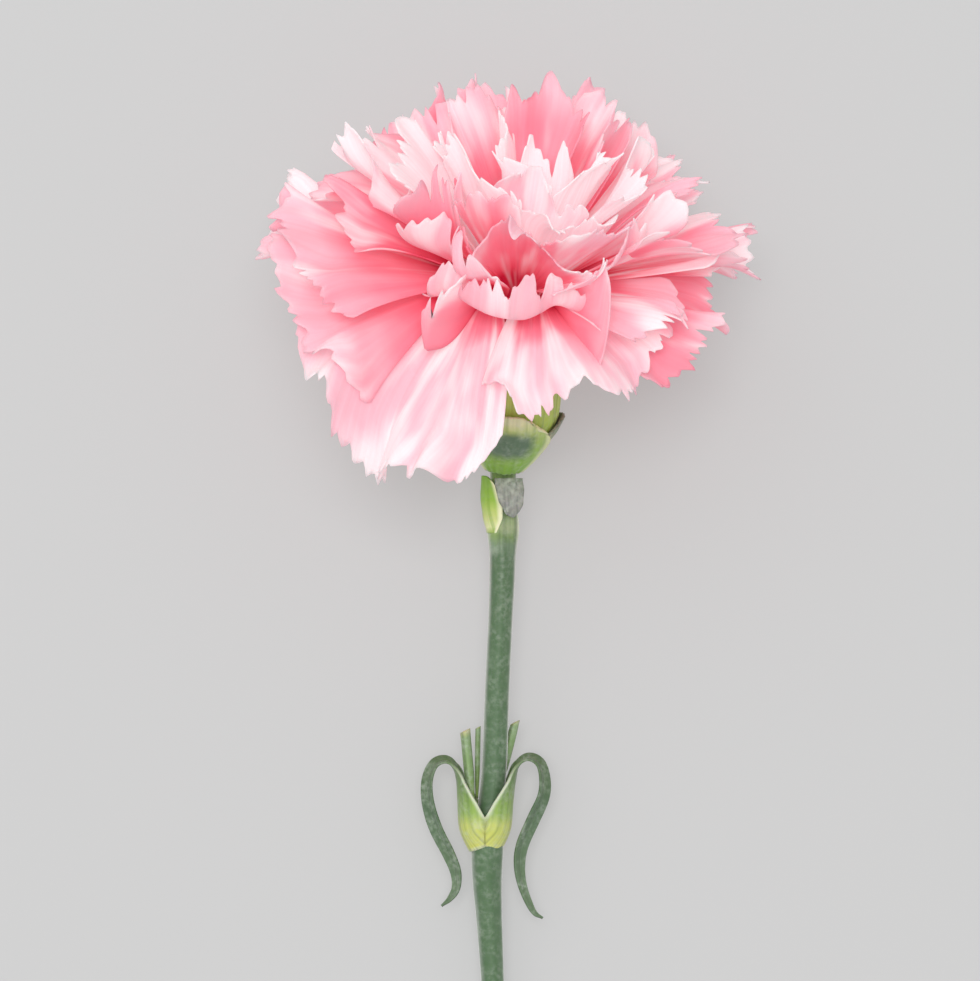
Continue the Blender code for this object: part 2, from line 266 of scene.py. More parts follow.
def new_piece(name: str, bm: BMesh, materials: Sequence[Material]) -> bpy.types.Object:
    """Turns a bmesh into a finished, smooth-shaded object at the origin.

    Args:
        name: The piece's name.
        bm: Its mesh, in the model's frame. It is freed.
        materials: Its materials, in slot order.

    Returns:
        The new object.
    """
    mesh = bpy.data.meshes.new(name)
    bm.to_mesh(mesh)
    bm.free()
    mesh.shade_smooth()
    for material in materials:
        mesh.materials.append(material)
    piece = bpy.data.objects.new(name, mesh)
    bpy.context.scene.collection.objects.link(piece)
    return piece


def stands_for(piece: bpy.types.Object, node: str) -> None:
    """Ties a piece to the body, and hides the CAD node that it stands for.

    Args:
        piece: The finished piece.
        node: The CAD node that it replaces.
    """
    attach(piece, "root")
    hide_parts(node)
    LOG.info("%s: %d faces", piece.name, len(piece.data.polygons))


def bent_grid(columns: int, rows: int, place: Placement, matrix: Matrix) -> BMesh:
    """Bends a flat grid, and keeps how it was laid out as a UV map in millimetres and a rim value.

    Args:
        columns: Faces across.
        rows: Faces along.
        place: Gives the points and their UV, in millimetres.
        matrix: From the points' frame to the model's.

    Returns:
        The bent grid. Its layer rim is 0 down the middle and 1 at both sides.
    """
    bm = bmesh.new()
    bmesh.ops.create_grid(bm, x_segments=columns, y_segments=rows, size=1.0)
    flat = np.array([v.co for v in bm.verts])
    points, uv = place(flat[:, 0], (flat[:, 1] + 1) / 2)
    rim = bm.verts.layers.float.new("rim")
    for vertex, point, across in zip(bm.verts, placed(matrix, points), flat[:, 0]):
        vertex.co = point
        vertex[rim] = abs(across)
    bm.verts.index_update()
    layer = bm.loops.layers.uv.new("UVMap")
    for face in bm.faces:
        for loop in face.loops:
            loop[layer].uv = uv[loop.vert.index]
    return bm


def sheet_piece(
    name: str,
    grid: BMesh,
    thickness: float,
    materials: Sequence[Material],
) -> bpy.types.Object:
    """Makes a thin sheet of a bent grid.

    Args:
        name: The piece's name.
        grid: The bent grid.
        thickness: Of the sheet, in millimetres.
        materials: The piece's materials.

    Returns:
        The new object, with its Solidify modifier.
    """
    piece = new_piece(name, grid, materials)
    shell = piece.modifiers.new("thickness", "SOLIDIFY")
    shell.thickness = thickness * MM
    shell.offset = 0.0
    return piece


def rolled_piece(
    name: str, grid: BMesh, materials: Sequence[Material], inset: float = 0.0
) -> bpy.types.Object:
    """Makes a closed round body of a grid that is bent all the way round: joins its seam and caps its ends.

    Args:
        name: The piece's name.
        grid: The bent grid, whose first and last columns meet.
        materials: The piece's skin, and the material of its caps if there is one.
        inset: Width of the ring of skin round each cap, in millimetres.

    Returns:
        The new object.
    """
    bmesh.ops.remove_doubles(grid, verts=grid.verts, dist=1e-7)
    open_edges = [edge for edge in grid.edges if edge.is_boundary]
    caps = bmesh.ops.holes_fill(grid, edges=open_edges, sides=0)["faces"]
    if inset:
        bmesh.ops.inset_individual(grid, faces=caps, thickness=inset * MM, depth=-0.2 * inset * MM)
    for cap in caps:
        cap.material_index = len(materials) - 1
    bmesh.ops.recalc_face_normals(grid, faces=grid.faces)
    return new_piece(name, grid, materials)


def eased(where: np.ndarray, table: Table, reach: float) -> np.ndarray:
    """Reads a table of pairs at the given places, with its corners rounded off.

    Args:
        where: The places.
        table: Place and value of each entry, in order of place.
        reach: How far each side the values are averaged.

    Returns:
        The values.
    """
    places, values = np.array(table).T
    steps = np.linspace(-reach, reach, 7)
    return sum(np.interp(where + step, places, values) for step in steps) / len(steps)


def smooth_path(points: Table, count: int) -> Pair:
    """Runs a Catmull-Rom curve through points.

    Args:
        points: The points.
        count: How many places to give, spaced evenly between the points.

    Returns:
        The places and the curve's direction at each.
    """
    given = np.array(points, dtype=float)
    ends = np.vstack([2 * given[0] - given[1], given, 2 * given[-1] - given[-2]])
    where = np.linspace(0, len(given) - 1, count)
    i = np.minimum(where.astype(int), len(given) - 2)
    f = (where - i)[:, None]
    a, b, c, d = ends[i], ends[i + 1], ends[i + 2], ends[i + 3]
    square, cube = 2 * a - 5 * b + 4 * c - d, 3 * b - a - 3 * c + d
    place = 0.5 * (2 * b + (c - a) * f + square * f**2 + cube * f**3)
    direction = 0.5 * ((c - a) + 2 * square * f + 3 * cube * f**2)
    return place, direction / np.linalg.norm(direction, axis=1, keepdims=True)


# === Finishes ===


@dataclass(frozen=True)
class PetalTissue:
    """Carnation petal: thin, soft, slightly see-through tissue, coral in the hollows and pale at the fringe.

    The UV map gives millimetres across at the margin and along from the calyx's mouth. The attribute
    petal_tone holds each petal's own seed, paleness and share of white.

    Attributes:
        red: Hex colour of the throat.
        deep: Of the hollows.
        coral: Of the blade.
        pale: Of the fringe.
        white: Of the variegation.
        streak_grain: Width and length of the streaks, in millimetres.
        vein_grain: Of the veins, likewise.
        patch_grain: Of the paler and deeper patches.
        white_grain: Of the white patches.
        blade_run: Where along the petal the colour starts to pale and has paled, in millimetres.
        throat_run: Where the throat's red starts to fade and is gone.
        painted_glow: Painted glow, the share of its colour that it gives off, brightening the hollows in
            place of light scattered inside the bloom.
        see_through: Share of the light from behind that comes through.
    """

    red: str = "dc3058"
    deep: str = "f06f88"
    coral: str = "f99bae"
    pale: str = "f9c9d4"
    white: str = "fcf1f3"
    streak_grain: tuple[float, float] = (2.2, 24.0)
    vein_grain: tuple[float, float] = (0.5, 30.0)
    patch_grain: tuple[float, float] = (8.0, 11.2)
    white_grain: tuple[float, float] = (4.5, 18.0)
    blade_run: tuple[float, float] = (4.0, 38.0)
    throat_run: tuple[float, float] = (5.0, 15.0)
    painted_glow: float = 0.17
    see_through: float = 0.35

    def make(self) -> Material:
        """Makes the material.

        Returns:
            The petals' shared material.
        """
        material, shader = blank_material("carnation petal tissue")
        add = partial(add_node, material)
        uv = add("ShaderNodeUVMap", uv_map="UVMap")
        split = add("ShaderNodeSeparateXYZ", {0: uv.outputs[0]})
        run = split.outputs["Y"]
        tone = add("ShaderNodeAttribute", attribute_name="petal_tone")
        seed, paleness, whiteness = add("ShaderNodeSeparateXYZ", {0: tone.outputs["Vector"]}).outputs
        noises = []
        for grain, shift, detail in (
            (self.streak_grain, 0.0, 3.0),
            (self.patch_grain, 7.0, 1.0),
            (self.vein_grain, 3.0, 2.0),
            (self.white_grain, 19.0, 2.0),
        ):
            own = add("ShaderNodeMath", {0: seed, 1: 40.0, 2: shift}, operation="MULTIPLY_ADD").outputs[0]
            noises.append(drawn_noise(material, split, grain, detail, own))
        streaks, patches, veins, clouds = noises
        # Along the petal: red in the throat, coral on the blade, pale at the fringe
        (start, end), (foot, top) = self.blade_run, self.throat_run
        share = add("ShaderNodeMapRange", {0: run, 1: start, 2: end, 3: 0.0, 4: 0.62}).outputs[0]
        throat = add("ShaderNodeMapRange", {0: run, 1: foot, 2: top, 3: -0.42, 4: 0.0}).outputs[0]
        depth = add("ShaderNodeMath", {0: throat, 1: share}, operation="ADD").outputs[0]
        for part, weight in ((patches, 0.5), (streaks, 0.22), (paleness, 0.42)):
            weighed = {0: part, 1: weight, 2: depth}
            depth = add("ShaderNodeMath", weighed, operation="MULTIPLY_ADD").outputs[0]
        ground = add("ShaderNodeValToRGB", {0: depth})
        colour_ramp(ground, ((0.36, self.red), (0.52, self.deep), (0.80, self.coral), (1.0, self.pale)))
        # White variegation: patches drawn out into streaks, stronger towards the fringe
        bright = add("ShaderNodeMapRange", {0: clouds, 1: 0.30, 2: 0.80, 3: 0.0, 4: 1.0}).outputs[0]
        for part, weight in ((share, 0.55), (streaks, 0.7), (whiteness, 0.75)):
            weighed = {0: part, 1: weight, 2: bright}
            bright = add("ShaderNodeMath", weighed, operation="MULTIPLY_ADD").outputs[0]
        mask = smooth_steps(material, [(bright, 1.05, 1.60, 0.0, 0.95)])
        tints = {0: mask, 6: ground.outputs[0], 7: linear(self.white)}
        streaked = add("ShaderNodeMix", tints, data_type="RGBA").outputs[2]
        vein = add("ShaderNodeMapRange", {0: veins, 1: 0.30, 2: 0.70, 3: 0.94, 4: 1.03}).outputs[0]
        tints = {0: 1.0, 6: streaked, 7: vein}
        colour = add("ShaderNodeMix", tints, data_type="RGBA", blend_type="MULTIPLY").outputs[2]
        bump = add("ShaderNodeBump", {"Height": veins, "Strength": 0.5, "Distance": 0.12 * MM})
        # The petals give off a painted glow of their own colour, standing in for light scattered inside the
        # bloom
        feed(shader, {
            "Base Color": colour, "Emission Color": colour, "Emission Strength": self.painted_glow,
            "Normal": bump.outputs[0], "Roughness": 0.6, "IOR": 1.4, "Specular IOR Level": 0.25,
            "Subsurface Weight": 0.35,
            "Subsurface Radius": (1.0, 0.4, 0.4), "Subsurface Scale": 1.2 * MM,
        })
        # The tissue is thin enough for light from behind to come through
        through = add("ShaderNodeBsdfTranslucent", {"Color": colour}).outputs[0]
        thin = add("ShaderNodeMixShader", {0: self.see_through, 1: shader.outputs[0], 2: through})
        feed(material.node_tree.nodes["Material Output"], {"Surface": thin.outputs[0]})
        return material


@dataclass(frozen=True)
class PlantSkin:
    """Waxy green plant skin, with lengthwise streaks, a paler rim on leaves and a faint bloom of wax.

    Attributes:
        name: What it is.
        bands: Height in millimetres along the piece and hex colour there, in order of height.
        streak: Hex colour of the darker streaks.
        streak_width: Of the streaks, in millimetres.
        streak_share: How much the streaks cover.
        rim: Hex colour of the piece's sides, if they differ.
        rim_from: Where the rim starts, as a share of the half width.
        rim_ends: Heights where the rim starts, has set in, starts to fade and is gone. None is all along.
        wax_colour: Hex colour of the wax.
        dark_patch_and_shade: Hex colour of a dark patch up the middle, if there is one. On the stem it is
            painted shade that keeps the front darker than its sheen-paled sides; on the broad bracts it is
            their own colour.
        dark_patch_and_shade_ends: Heights between which the dark patch lies.
        wax: How much pale wax lies on it.
        sheen: How much the wax pales its sides.
        roughness: Of its surface.
    """

    name: str
    bands: Sequence[tuple[float, str]]
    streak: str = "4d6347"
    streak_width: float = 1.1
    streak_share: float = 0.55
    rim: str | None = None
    rim_from: float = 0.8
    rim_ends: tuple[float, float, float, float] | None = None
    dark_patch_and_shade: str | None = None
    dark_patch_and_shade_ends: tuple[float, float] = (0.0, 0.0)
    wax_colour: str = "c3cbbf"
    wax: float = 0.35
    sheen: float = 0.15
    roughness: float = 0.48

    def make(self) -> Material:
        """Makes the material.

        Returns:
            The material.
        """
        material, shader = blank_material(self.name)
        add = partial(add_node, material)
        uv = add("ShaderNodeUVMap", uv_map="UVMap")
        split = add("ShaderNodeSeparateXYZ", {0: uv.outputs[0]})
        height = split.outputs["Y"]
        where = add("ShaderNodeTexCoord").outputs["Object"]
        cloud, fine = (
            add("ShaderNodeTexNoise", {"Vector": where, "Scale": 1 / size, "Detail": detail}).outputs[0]
            for size, detail in ((2.2 * MM, 3.0), (0.7 * MM, 5.0))
        )
        streaks = drawn_noise(material, split, (self.streak_width, 22.0), 4.0)
        # Colour bands along the piece, with slightly uneven edges
        uneven = add("ShaderNodeMath", {0: cloud, 1: 1.2, 2: height}, operation="MULTIPLY_ADD").outputs[0]
        low, high = self.bands[0][0], self.bands[-1][0]
        share = add("ShaderNodeMapRange", {0: uneven, 1: low + 0.6, 2: high + 0.6, 3: 0.0, 4: 1.0})
        ramp = add("ShaderNodeValToRGB", {0: share.outputs[0]})
        colour_ramp(ramp, [((place - low) / (high - low), colour) for place, colour in self.bands])
        # Over them the streaks, the dark patch, which on the stem is painted shade, the rim and thin wax
        rim = add("ShaderNodeAttribute", attribute_name="rim").outputs["Fac"]
        layers = [(self.streak, [(streaks, 0.42, 0.66, 0.0, self.streak_share)])]
        if self.dark_patch_and_shade:
            ragged = add("ShaderNodeMath", {0: cloud, 1: 0.25, 2: rim}, operation="MULTIPLY_ADD").outputs[0]
            foot, top = self.dark_patch_and_shade_ends
            inside = [(uneven, foot, foot + 2.5, 0.0, 1.0), (uneven, top - 0.8, top + 0.8, 1.0, 0.0)]
            layers.append((self.dark_patch_and_shade, inside + [(ragged, 0.45, 0.85, 1.0, 0.0)]))
        if self.rim:
            side = [(rim, self.rim_from, self.rim_from + 0.22, 0.0, 0.9)]
            if self.rim_ends:
                side += [(height, *self.rim_ends[:2], 0.0, 1.0), (height, *self.rim_ends[2:], 1.0, 0.0)]
            layers.append((self.rim, side))
        layers.append((self.wax_colour, [(cloud, 0.3, 0.75, 0.0, self.wax), (fine, 0.3, 0.7, 0.0, 1.0)]))
        colour = ramp.outputs[0]
        for tint, steps in layers:
            tints = {0: smooth_steps(material, steps), 6: colour, 7: linear(tint)}
            colour = add("ShaderNodeMix", tints, data_type="RGBA").outputs[2]
        bump = add("ShaderNodeBump", {"Height": streaks, "Strength": 0.6, "Distance": 0.12 * MM})
        feed(shader, {
            "Base Color": colour, "Normal": bump.outputs[0], "Roughness": self.roughness,
            "Specular IOR Level": 0.35, "Sheen Weight": self.sheen, "Sheen Roughness": 0.4,
            "Subsurface Weight": 0.12, "Subsurface Radius": (0.5, 1.0, 0.2), "Subsurface Scale": 0.5 * MM,
        })
        return material


@dataclass(frozen=True)
class CutTissue:
    """The moist, fibrous face that a knife leaves: pale pith with fine darker fibres.

    Attributes:
        name: What it is.
        pith: Hex colour of the pith.
        fibre: Hex colour of the fibres.
    """

    name: str
    pith: str = "e9e0b4"
    fibre: str = "a9b676"

    def make(self) -> Material:
        """Makes the material.

        Returns:
            The material.
        """
        material, shader = blank_material(self.name)
        where = add_node(material, "ShaderNodeTexCoord").outputs["Object"]
        grain = {"Vector": where, "Scale": 1 / (0.35 * MM), "Detail": 4.0}
        fibres = add_node(material, "ShaderNodeTexNoise", grain).outputs[0]
        tone = add_node(material, "ShaderNodeValToRGB", {0: fibres})
        colour_ramp(tone, ((0.35, self.fibre), (0.58, self.pith)))
        bump = add_node(material, "ShaderNodeBump", {"Height": fibres, "Strength": 0.8, "Distance": 0.1 * MM})
        feed(shader, {"Base Color": tone.outputs[0], "Normal": bump.outputs[0], "Roughness": 0.4})
        return material


# === Stem, leaves and shoots ===


@dataclass
class Stem:
    """The stem, with two swollen joints and a slanting cut at its foot. Sizes are in millimetres.

    Attributes:
        centre: Height and sideways offset of its axis.
        radius: Height and radius.
        slant: Of the cut, in degrees.
        flute: Depth of its shallow furrows, as a share of the radius.
        sides: Faces round it.
        rows: Faces along it.
    """

    centre: Table = (
        (-118, 0.6), (-100, -0.6), (-80, -1.65), (-68, -2.3), (-60, -2.8), (-50, -1.4), (-36, -1.0),
        (-24, -0.4), (-14, 0.0), (0, 0.0),
    )
    radius: Table = (
        (-118, 1.85), (-80, 1.8), (-70, 2.05), (-64, 2.35), (-61, 2.5), (-58.8, 2.5), (-56, 2.2),
        (-50, 1.95), (-24, 1.9), (-14, 2.05), (-10.6, 2.45), (-9.0, 2.55), (-7.6, 2.2), (-6, 2.0),
        (0, 2.0),
    )
    slant: float = 35.0
    flute: float = 0.028
    sides: int = 48
    rows: int = 236

    def place(self, across: np.ndarray, along: np.ndarray) -> Pair:
        """Rolls a grid into the stem.

        Args:
            across: From -1 to 1, once round.
            along: From 0 at the cut to 1 at the calyx.

        Returns:
            The points and their UV.
        """
        angle = across * math.pi
        height = POSTURE.stem_end * (1 - along)
        radius = eased(height, self.radius, 0.9) * (
            1 + self.flute * (np.cos(3 * angle + 0.8) + 0.5 * np.cos(7 * angle + height / 40))
        )
        x = eased(height, self.centre, 6.0) + radius * np.sin(angle)
        y = -radius * np.cos(angle)
        # The lowest 6 mm slant to the cut, and the top 2 mm tilt to meet the calyx
        near_cut = np.clip(1 - (height - POSTURE.stem_end) / 6.0, 0.0, 1.0)
        near_head = np.clip(1 + height / 2.0, 0.0, 1.0)
        tilt = math.tan(math.radians(POSTURE.nod)) * y - math.tan(math.radians(POSTURE.lean)) * x
        z = height + near_cut * (y + radius) * math.tan(math.radians(self.slant)) + near_head * tilt
        return np.stack([x, y, z], axis=-1), np.stack([angle * radius, height], axis=-1)

    def build(self) -> None:
        """Builds the stem."""
        skin = PlantSkin(
            "waxy grey-green stem skin",
            (
                (-118.0, "869f7e"), (-63.0, "7a9272"), (-61.5, "7f9672"), (-60.6, "c2caa8"),
                (-57.0, "b9c47a"), (-53.0, "a5b878"), (-46.0, "8ba47e"), (-30.0, "8a9f86"),
                (-12.5, "7c9276"), (-10.9, "84a05c"), (-9.6, "b9c795"), (-6.0, "8fae5c"), (0.0, "7fa04e"),
            ),
            # The dark patch up the stem's front is painted shade, darker than the sides that the sheen pales
            streak="3f5a38", streak_width=1.7, streak_share=0.6, dark_patch_and_shade="4d6a48", dark_patch_and_shade_ends=(-114.0, -13.0),
            wax=0.25, sheen=1.0,
        )
        grid = bent_grid(self.sides, self.rows, self.place, POSTURE.flower())
        piece = rolled_piece("stem_body", grid, [skin.make(), CutTissue("fresh stem cut").make()], 0.35)
        stands_for(piece, "stem")


class Side(Enum):
    """The side of the stem that a leaf stands on."""

    LEFT = -1
    RIGHT = 1


@dataclass
class Leaf:
    """A leaf of the lower joint: half a sheath round the stem, then a blade that arches over and hangs.

    Attributes:
        node: The CAD node that it replaces.
        side: Of the stem.
        rib: Sideways and height of its middle line from the joint to the tip, in millimetres.
        channel: Share of its length and radius of its gutter there, in millimetres.
        half_widths: Share of its length and half of its width.
        twist: Share of its length and how far it turns its face outwards, in degrees.
        thickness: In millimetres.
        columns: Faces across.
        rows: Faces along.
    """

    node: str
    side: Side
    rib: Table
    channel: Table = (
        (0, 2.2), (0.02, 2.75), (0.06, 3.7), (0.143, 4.15), (0.21, 4.35), (0.30, 2.6), (1, 2.2),
    )
    half_widths: Table = (
        (0, 9.0), (0.095, 9.0), (0.1, 6.4), (0.15, 4.9), (0.21, 3.0), (0.30, 1.25), (0.45, 1.3),
        (0.62, 1.4), (0.78, 1.05), (0.9, 0.6), (1, 0.03),
    )
    twist: Table = ((0, 0), (0.24, 0), (0.45, 32), (0.7, 55), (1, 40))
    thickness: float = 0.42
    columns: int = 20
    rows: int = 110

    def place(self, across: np.ndarray, along: np.ndarray) -> Pair:
        """Bends a grid into the leaf.

        Args:
            across: From -1 to 1, edge to edge.
            along: From 0 at the joint to 1 at the tip.

        Returns:
            The points and their UV.
        """
        path, direction = smooth_path(self.rib, self.rows + 1)
        steps = np.linspace(0, 1, self.rows + 1)
        channel = eased(steps, self.channel, 0.01)
        # The sheath goes a little more than half way round the stem
        closed = 0.52 * math.pi * channel
        half = np.minimum(eased(steps, self.half_widths, 0.004), closed)
        twist = np.radians(eased(steps, self.twist, 0.05))
        lengths = np.concatenate([[0.0], np.cumsum(np.linalg.norm(np.diff(path, axis=0), axis=1))])
        row = np.rint(along * self.rows).astype(int)
        angle = across * half[row] / channel[row]
        sideways = channel[row] * np.sin(angle)
        inwards = channel[row] * (1 - np.cos(angle)) - 0.12 * np.exp(-((across / 0.12) ** 2))
        c, s = np.cos(twist[row]), np.sin(twist[row])
        flat = sideways * s - inwards * c
        depth = sideways * c + inwards * s
        side = self.side.value
        x = path[row, 0] + flat * side * direction[row, 1]
        z = path[row, 1] - flat * side * direction[row, 0]
        return np.stack([x, -depth, z], axis=-1), np.stack([across * half[row], lengths[row]], axis=-1)

    def build(self, skin: Material) -> None:
        """Builds the leaf.

        Args:
            skin: The leaves' shared material.
        """
        grid = bent_grid(self.columns, self.rows, self.place, POSTURE.flower())
        piece = sheet_piece(f"{self.node}_blade", grid, self.thickness, [skin])
        stands_for(piece, self.node)


@dataclass
class LeafPair:
    """The two leaves of the lower joint, whose sheaths meet in a notch at the front.

    Attributes:
        left: Sideways and height of the left leaf's middle line, in millimetres.
        right: Of the right leaf's, likewise.
    """

    left: Table = (
        (-5.0, -60.0), (-6.5, -56.6), (-6.8, -52.4), (-7.0, -49.0), (-7.6, -47.0), (-8.9, -46.0),
        (-10.6, -46.6), (-11.6, -49.0), (-11.5, -52.4), (-10.3, -56.5), (-8.4, -60.4), (-7.3, -63.3),
        (-7.3, -65.8), (-8.3, -67.5), (-9.6, -68.6),
    )
    right: Table = (
        (-0.6, -60.0), (0.9, -56.6), (1.3, -52.4), (1.7, -49.0), (2.3, -46.7), (3.9, -45.6), (5.6, -46.4),
        (6.3, -48.8), (6.1, -51.5), (4.6, -55.0), (2.9, -59.1), (2.5, -62.4), (3.1, -65.8), (4.7, -69.4),
        (6.2, -70.5),
    )

    def build(self) -> None:
        """Builds both leaves."""
        skin = PlantSkin(
            "grey-green carnation leaf",
            (
                (0.0, "d5dbb0"), (0.5, "cdd06a"), (4.5, "c3cc6c"), (6.5, "93b157"), (11.0, "6a8a49"),
                (16.0, "566b48"), (24.0, "526a4e"), (40.0, "62785a"),
            ),
            streak="48603a", streak_width=0.7, streak_share=0.4,
            rim="e6ead6", rim_from=0.84, rim_ends=(4.5, 6.5, 10.0, 15.0), wax=0.4, roughness=0.5,
        ).make()
        Leaf("leaf_left", Side.LEFT, self.left).build(skin)
        Leaf("leaf_right", Side.RIGHT, self.right).build(skin)


@dataclass
class Shoot:
    """The stub of a side shoot, cut off above the leaf pair.

    Attributes:
        node: The CAD node that it replaces.
        foot: Its foot's place, in millimetres.
        top: The middle of its cut.
        radius: In millimetres.
    """

    node: str
    foot: tuple[float, float, float]
    top: tuple[float, float, float]
    radius: float

    def place(self, across: np.ndarray, along: np.ndarray) -> Pair:
        """Rolls a grid into the shoot.

        Args:
            across: From -1 to 1, once round.
            along: From 0 at the foot to 1 at the cut.

        Returns:
            The points and their UV.
        """
        angle = across * math.pi
        foot, top = np.array(self.foot), np.array(self.top)
        middle = foot + (top - foot) * along[:, None]
        swell = eased(along, ((0, 0.5), (0.4, 1.0), (1, 1.0)), 0.1)
        radius = self.radius * swell * (1 + 0.06 * np.cos(4 * angle))
        x, y = radius * np.sin(angle), -radius * np.cos(angle)
        lift = 0.5 * x * np.clip((along - 0.85) / 0.15, 0.0, 1.0)
        points = middle + np.stack([x, y, lift], axis=-1)
        return points, np.stack([angle * radius, along * (top[2] - foot[2])], axis=-1)

    def build(self, skin: Material, cut: Material) -> None:
        """Builds the shoot.

        Args:
            skin: The shoots' shared skin.
            cut: The material of its cut end.
        """
        grid = bent_grid(20, 24, self.place, POSTURE.flower())
        piece = rolled_piece(f"{self.node}_stub", grid, [skin, cut], 0.12)
        stands_for(piece, self.node)


SHOOTS = (
    Shoot("cut_shoot_left", (-4.8, -0.6, -53.0), (-5.9, -0.9, -41.2), 0.75),
    Shoot("cut_shoot_thin", (-4.1, 1.9, -52.0), (-3.9, 1.6, -40.9), 0.4),
    Shoot("cut_shoot_right", (-0.9, 2.6, -51.4), (1.9, 1.6, -40.1), 0.7),
)


@dataclass
class CutShoots:
    """The shoots that were cut off above the leaf pair.

    Attributes:
        shoots: The shoots, in order.
    """

    shoots: Sequence[Shoot] = SHOOTS

    def build(self) -> None:
        """Builds the shoots."""
        skin = PlantSkin(
            "green shoot skin", ((0.0, "93ad5c"), (5.0, "7f9c63"), (10.8, "86a070"), (12.0, "c2bd7e")),
            streak="54693f", streak_width=0.6, wax=0.4,
        ).make()
        cut = CutTissue("dry cream cut end", pith="efe2b2", fibre="cdb582").make()
        for shoot in self.shoots:
            shoot.build(skin, cut)


# === Calyx, bracts and scale leaves ===


@dataclass
class Calyx:
    """The ribbed, five-toothed cup that holds the petals.

    Attributes:
        outline: Height and radius of its outside, in millimetres.
        wall: Its thickness.
        ribs: Fine ribs up its outside.
        tooth: Height of its teeth.
        notch: Height of the notches between them over the calyx's base.
        depth: Of its floor inside, below the plane of its mouth.
        lip: Shares of the grid's length where the outside ends and where the inside begins.
    """

    outline: Table = (
        (0.15, 1.9), (0.9, 2.6), (3.6, 4.8), (7.1, 7.1), (9.6, 7.9), (15.0, 7.9), (21.0, 7.9), (23.8, 8.3),
        (27.8, 8.3),
    )
    wall: float = 0.5
    ribs: int = 35
    tooth: float = 4.0
    notch: float = 23.8
    depth: float = 15.2
    lip: tuple[float, float] = (0.62, 0.66)

    def outside(self, height: np.ndarray) -> np.ndarray:
        """Gives the radius of the outside at a height."""
        return eased(np.maximum(height, 0.15), self.outline, 0.7)

    def over(self, height: np.ndarray, gap: np.ndarray) -> Pair:
        """Gives the radius and height of a point that stands off the outside.

        Args:
            height: Where on the outside, in millimetres.
            gap: How far off it.

        Returns:
            The radius and the height.
        """
        radius = self.outside(height)
        slope = (self.outside(height + 0.8) - radius) / 0.8
        steep = np.hypot(1.0, slope)
        return radius + gap / steep, height - gap * slope / steep

    def place(self, across: np.ndarray, along: np.ndarray) -> Pair:
        """Rolls a grid into the cup: up the outside, over the teeth and down the inside.

        Args:
            across: From -1 to 1, once round.
            along: From 0 at the base to 1 at the floor inside.

        Returns:
            The points and their UV.
        """
        angle = across * math.pi
        tooth = self.tooth * (0.5 + 0.5 * np.cos(5 * angle)) ** 0.8
        floor = POSTURE.calyx_height - self.depth
        rim = self.notch + tooth
        end, start = self.lip
        up = np.clip(along / end, 0.0, 1.0)
        down = np.clip((along - start) / (1 - start), 0.0, 1.0)
        inner = along > (start + end) / 2
        height = np.where(inner, rim + (floor - rim) * down, 0.15 + (rim - 0.15) * up)
        ribs = 0.07 * np.cos(self.ribs * angle) * np.clip(height / 6, 0, 1)
        radius = self.outside(height) + np.where(inner, -self.wall, ribs)
        points = np.stack([radius * np.sin(angle), -radius * np.cos(angle), height], axis=-1)
        return points, np.stack([angle * 7.9, height], axis=-1)

    def build(self) -> None:
        """Builds the cup."""
        skin = PlantSkin(
            "ribbed yellow-green calyx",
            ((0.0, "95bb36"), (6.0, "a6c444"), (14.0, "bdcf66"), (22.0, "cdd28c"), (28.0, "d2d59a")),
            streak="8aa63a", streak_width=0.5, streak_share=0.7, wax=0.2,
        )
        grid = bent_grid(210, 90, self.place, POSTURE.head())
        stands_for(rolled_piece("calyx_cup", grid, [skin.make()]), "calyx")


@dataclass
class Bract:
    """A broad bract that hugs the calyx.

    Attributes:
        node: The CAD node that it replaces.
        azimuth: 0 is the front, 90 the right.
        gap: From the calyx, in millimetres.
        height: Of its tip over the calyx's base.
        side: Whether it is one of the lower, grey-tipped side bracts.
        half_angle: Of the calyx that it covers, in degrees.
        foot: Height of its foot over the calyx's base, in millimetres.
        thickness: In millimetres.
    """

    node: str
    azimuth: float
    gap: float
    height: float
    side: bool = False
    half_angle: float = 50.0
    foot: float = 1.2
    thickness: float = 0.4

    def build(self, calyx: Calyx, skin: Material) -> None:
        """Builds the bract.

        Args:
            calyx: What it hugs.
            skin: Its material.
        """
        middle = math.radians(self.azimuth)

        def place(across: np.ndarray, along: np.ndarray) -> Pair:
            """Bends a grid into the bract, with a low keel and rounded upper corners.

            Args:
                across: From -1 to 1, edge to edge.
                along: From 0 at the foot to 1 at the tip.

            Returns:
                The points and their UV.
            """
            rounding = 1 - 0.22 * np.abs(across) ** 2.5 * along
            height = self.foot + (self.height - self.foot) * along * rounding
            span = math.radians(self.half_angle) * (1 - 0.45 * np.clip((along - 0.55) / 0.45, 0, 1) ** 2.5)
            around = middle + across * span
            keel = 0.12 * np.exp(-((across / 0.15) ** 2)) + 0.05 * np.cos(26 * across)
            radius, z = calyx.over(height, self.gap + self.thickness / 2 + keel + 0.25 * along**6)
            points = np.stack([radius * np.sin(around), -radius * np.cos(around), z], axis=-1)
            return points, np.stack([across * span * radius, height], axis=-1)

        grid = bent_grid(44, 40, place, POSTURE.head())
        stands_for(sheet_piece(f"{self.node}_scale", grid, self.thickness, [skin]), self.node)


BRACTS = (
    Bract("bract_left", -88, 0.25, 9.8, side=True),
    Bract("bract_right", 84, 0.25, 9.8, side=True),
    Bract("bract_front", 4, 0.95, 12.4),
    Bract("bract_back", 178, 0.95, 12.0),
)


